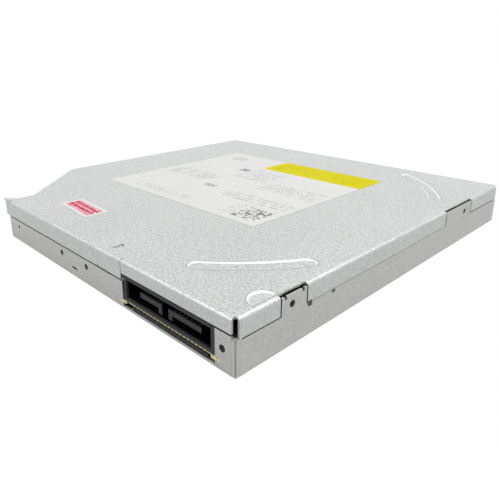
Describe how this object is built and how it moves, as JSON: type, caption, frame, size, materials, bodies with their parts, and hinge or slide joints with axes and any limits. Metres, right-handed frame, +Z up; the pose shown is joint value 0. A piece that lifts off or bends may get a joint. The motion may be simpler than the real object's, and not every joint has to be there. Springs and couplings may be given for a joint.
{
  "type": "slim internal DVD writer",
  "caption": "Slim internal optical disc drive with a folded steel case, sliding tray and rear combined data and power plug.",
  "frame": {"origin": "centre of the case in plan, on the plane that it rests on", "axes": "+X right seen from the tray side, +Y to the connector side, +Z up; the tray opens toward -Y"},
  "size_m": [0.128, 0.1262, 0.0128],
  "materials": {
    "cover_steel": "satin",
    "case_steel": "satin",
    "bright_steel": "polished",
    "label_paper": "matte",
    "yellow_paper": "matte",
    "red_paper": "matte",
    "black_plastic": "matte",
    "contact_gold": "polished",
    "copper": "satin",
    "circuit_board": "satin",
    "light_plastic": "matte",
    "tray_plastic": "matte",
    "cast_metal": "satin",
    "black_rubber": "matte",
    "led_plastic": "gloss",
    "brass": "satin",
    "lens_glass": "polished"
  },
  "bodies": {
    "case": {"top_cover": "cover_steel", "bottom_case": "case_steel", "cover_screws": "bright_steel", "rating_label": "label_paper", "label_band": "yellow_paper", "seal_sticker": "red_paper", "sata_connector": "black_plastic", "signal_contacts": "contact_gold", "power_contacts": "contact_gold", "rear_board": "circuit_board", "rear_cable_socket": "light_plastic", "flat_cable": "light_plastic", "left_rail_guide": "case_steel", "right_rail_guide": "case_steel", "latch_post": "bright_steel"},
    "left_rail": {"left_slide_rail": "bright_steel"},
    "right_rail": {"right_slide_rail": "bright_steel"},
    "tray": {"tray": "tray_plastic", "tray_shield": "case_steel", "tray_screws": "bright_steel", "traverse_cover": "case_steel", "traverse_frame": "cast_metal", "damper_grommets": "black_rubber", "damper_screws": "bright_steel", "spindle_motor_base": "bright_steel", "stator": "copper", "main_guide_rod": "bright_steel", "sub_guide_rod": "bright_steel", "rod_holders": "cast_metal", "sled_motor": "bright_steel", "main_board": "circuit_board", "board_chips": "black_plastic", "tray_cable_socket": "light_plastic", "front_board": "circuit_board", "eject_switch": "black_plastic", "activity_led": "led_plastic", "eject_solenoid": "copper", "latch_pivot": "bright_steel", "plunger_housing": "black_plastic"},
    "lead_screw": {"lead_screw": "bright_steel"},
    "latch": {"latch_lever": "light_plastic"},
    "plunger": {"eject_plunger": "light_plastic"},
    "button": {"eject_button": "tray_plastic"},
    "turntable": {"turntable": "cast_metal", "turntable_mat": "black_rubber"},
    "sled": {"pickup_body": "cast_metal", "laser_diodes": "brass", "actuator_magnets": "cast_metal"},
    "lens": {"lens_holder": "black_plastic", "objective_lens": "lens_glass"}
  },
  "joints": [
    {"name": "tray_slide", "type": "slide", "parent": "case", "child": "tray", "axis": [0, -1, 0], "range_m": [0, 0.13]},
    {"name": "left_rail_slide", "type": "slide", "parent": "case", "child": "left_rail", "axis": [0, -1, 0], "range_m": [0, 0.0651]},
    {"name": "right_rail_slide", "type": "slide", "parent": "case", "child": "right_rail", "axis": [0, -1, 0], "range_m": [0, 0.0651]},
    {"name": "disc_spin", "type": "hinge", "parent": "tray", "child": "turntable", "pos_m": [0, -0.0005, 0.005], "axis": [0, 0, 1], "continuous": true},
    {"name": "pickup_slide", "type": "slide", "parent": "tray", "child": "sled", "axis": [-0.7071, -0.7071, 0], "range_m": [0, 0.033]},
    {"name": "screw_turn", "type": "hinge", "parent": "tray", "child": "lead_screw", "pos_m": [0.01237, -0.01287, 0.0038], "axis": [-0.7071, -0.7071, 0], "range_deg": [0, 3970]},
    {"name": "lens_focus", "type": "slide", "parent": "sled", "child": "lens", "axis": [0, 0, 1], "range_m": [-0.0003, 0.0003], "stiffness_N_per_m": 50},
    {"name": "latch_turn", "type": "hinge", "parent": "tray", "child": "latch", "pos_m": [0.029, 0.008, 0.0023], "axis": [0, 0, -1], "range_deg": [0, 10], "stiffness_Nm_per_rad": 0.002},
    {"name": "plunger_push", "type": "slide", "parent": "tray", "child": "plunger", "axis": [0, 1, 0], "range_m": [0, 0.0081]},
    {"name": "button_press", "type": "slide", "parent": "tray", "child": "button", "axis": [0, 1, 0], "range_m": [0, 0.0003], "stiffness_N_per_m": 200}
  ],
  "couplings": [
    {"joint": "left_rail_slide", "follows": "tray_slide", "ratio": 0.5},
    {"joint": "right_rail_slide", "follows": "tray_slide", "ratio": 0.5},
    {"joint": "plunger_push", "follows": "tray_slide", "ratio": 0.0615},
    {"joint": "screw_turn", "follows": "pickup_slide", "rad_per_m": 2094.4}
  ]
}
